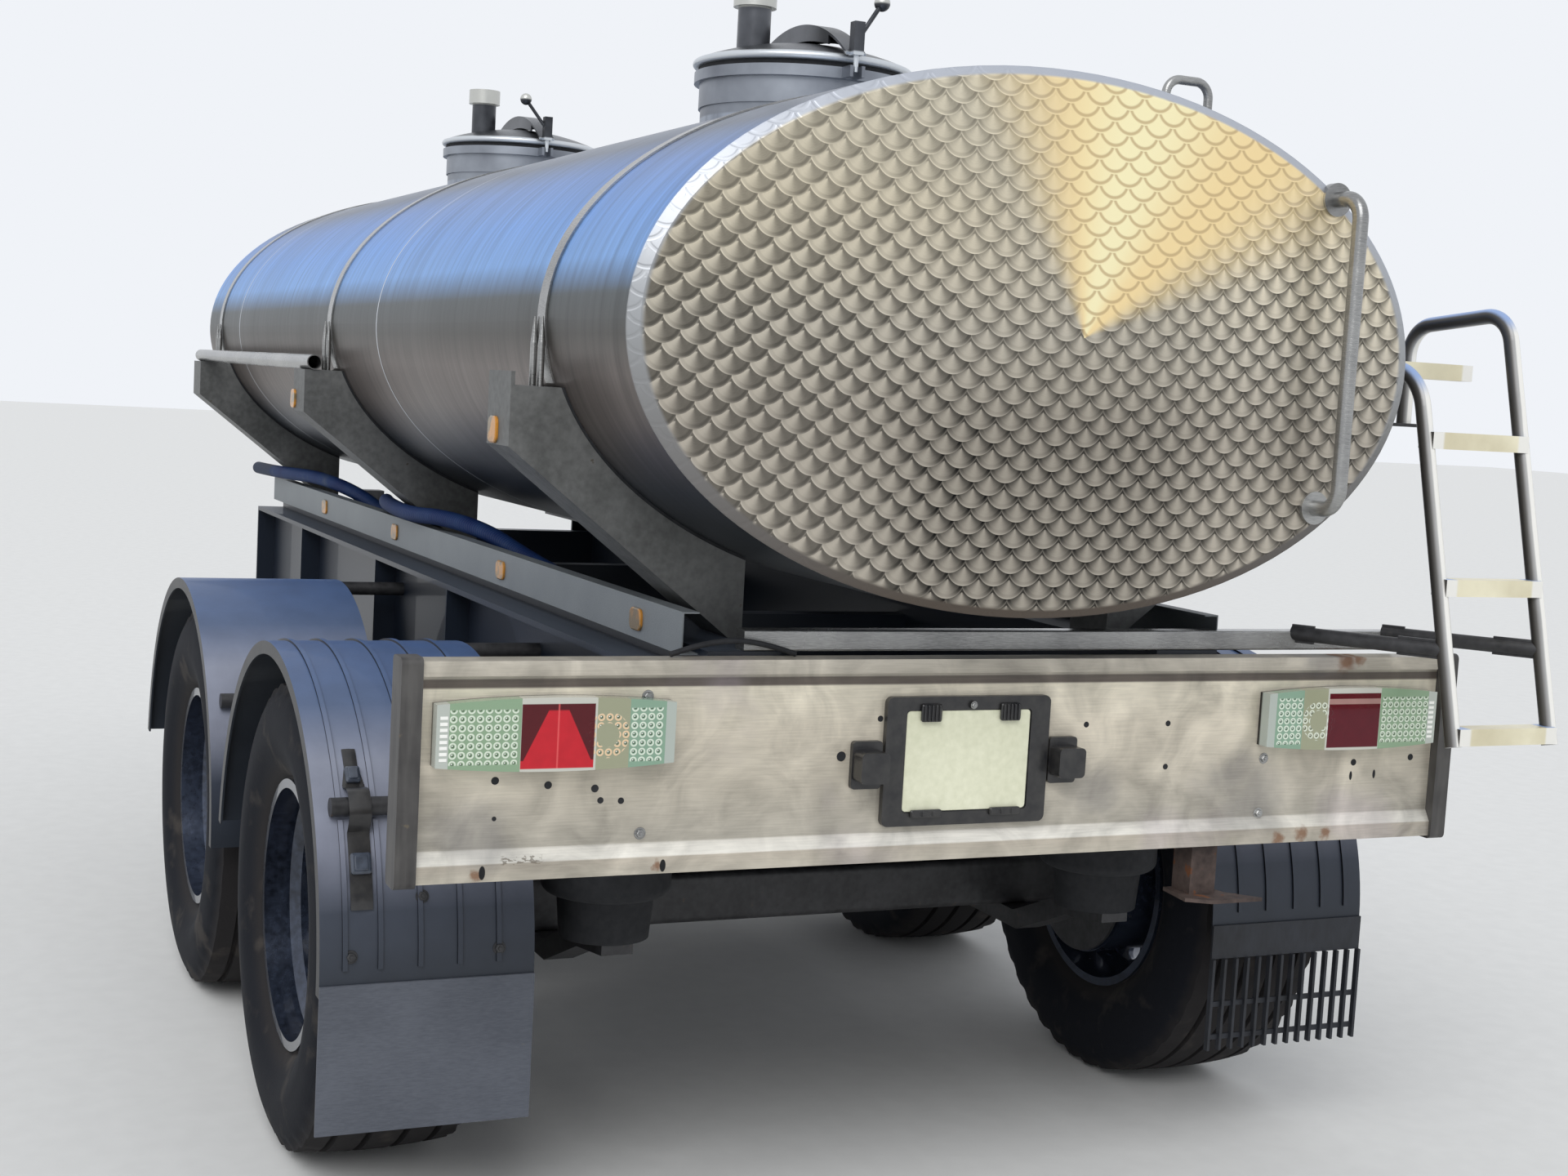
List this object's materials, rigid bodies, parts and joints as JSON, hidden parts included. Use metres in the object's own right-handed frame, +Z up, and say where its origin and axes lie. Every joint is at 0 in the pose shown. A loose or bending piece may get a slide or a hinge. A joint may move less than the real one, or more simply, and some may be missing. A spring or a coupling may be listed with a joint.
{
  "type": "tank trailer",
  "caption": "Tandem-axle drawbar trailer with an oval stainless tank on saddles, hinged manhole lids, rear ladder, lamp panel and mudguards.",
  "frame": {"origin": "middle of the overall length and width, on the ground", "axes": "+X forward towards the towing eye, +Y to the trailer's left, +Z up"},
  "size_m": [6.5642, 2.533, 2.6853],
  "materials": {
    "stainless": "brushed, with swirled spots on the heads",
    "stainless_lid": "satin",
    "panel_steel": "satin, weathered",
    "zinc_steel": "galvanised grey",
    "chassis_paint": "semi gloss",
    "black_steel": "semi matte",
    "rusty_steel": "rusted",
    "forged_steel": "worn",
    "aluminium": "satin",
    "wheel_paint": "dusty silver",
    "tyre": "matte",
    "black_plastic": "satin",
    "black_rubber": "matte",
    "lamp_lens": "glossy lens",
    "blue_hose": "dusty rubber"
  },
  "bodies": {
    "trailer": {"air_springs": "black_rubber", "axles": "black_steel", "cross_members": "chassis_paint", "drawbar": "chassis_paint", "drop_bracket": "rusty_steel", "frame_rails": "chassis_paint", "guard_stays": "black_steel", "hold_down_straps": "stainless", "hose": "blue_hose", "jack_housing": "black_steel", "jack_leg": "zinc_steel", "ladder": "aluminium", "ladder_mounts": "black_steel", "lance_tube": "stainless", "lid_seals": "black_rubber", "manhole_neck_front": "stainless", "manhole_neck_rear": "stainless", "mud_flap_left": "black_rubber", "mud_flap_right": "black_plastic", "mudguard_front_left": "black_plastic", "mudguard_front_right": "black_plastic", "mudguard_rear_left": "black_plastic", "mudguard_rear_right": "black_plastic", "panel_end_pieces": "black_steel", "plate_holder": "black_plastic", "plate_lamps": "black_plastic", "rear_cross_bar": "stainless", "rear_grab_handle": "stainless", "rear_panel": "panel_steel", "saddle_front": "zinc_steel", "saddle_middle": "zinc_steel", "saddle_pads": "black_rubber", "saddle_rear": "zinc_steel", "side_rails": "zinc_steel", "subframe": "chassis_paint", "suspension_hangers": "chassis_paint", "tail_lamps": "lamp_lens", "tank_loop": "stainless", "tank_shell": "stainless", "towing_eye": "forged_steel", "trailing_arms": "black_steel"},
    "running_wheel_rear_left": {"tyre_rear_left": "tyre", "wheel_rear_left": "wheel_paint"},
    "running_wheel_rear_right": {"tyre_rear_right": "tyre", "wheel_rear_right": "wheel_paint"},
    "running_wheel_front_left": {"tyre_front_left": "tyre", "wheel_front_left": "wheel_paint"},
    "running_wheel_front_right": {"tyre_front_right": "tyre", "wheel_front_right": "wheel_paint"},
    "manhole_lid_rear": {"lid_rear": "stainless_lid", "lid_bow_rear": "stainless_lid"},
    "manhole_lid_front": {"lid_front": "stainless_lid", "lid_bow_front": "stainless_lid"}
  },
  "joints": [
    {"name": "roll_rear_left", "type": "hinge", "parent": "trailer", "child": "running_wheel_rear_left", "pos_m": [-2.08, 1.052, 0.52], "axis": [0, 1, 0], "continuous": true},
    {"name": "roll_rear_right", "type": "hinge", "parent": "trailer", "child": "running_wheel_rear_right", "pos_m": [-2.08, -1.052, 0.52], "axis": [0, 1, 0], "continuous": true},
    {"name": "roll_front_left", "type": "hinge", "parent": "trailer", "child": "running_wheel_front_left", "pos_m": [-0.77, 1.052, 0.52], "axis": [0, 1, 0], "continuous": true},
    {"name": "roll_front_right", "type": "hinge", "parent": "trailer", "child": "running_wheel_front_right", "pos_m": [-0.77, -1.052, 0.52], "axis": [0, 1, 0], "continuous": true},
    {"name": "open_lid_rear", "type": "hinge", "parent": "trailer", "child": "manhole_lid_rear", "pos_m": [-1.624, 0, 2.5143], "axis": [0, 1, 0], "range_deg": [0, 100]},
    {"name": "open_lid_front", "type": "hinge", "parent": "trailer", "child": "manhole_lid_front", "pos_m": [0.704, 0, 2.5143], "axis": [0, 1, 0], "range_deg": [0, 100]}
  ]
}
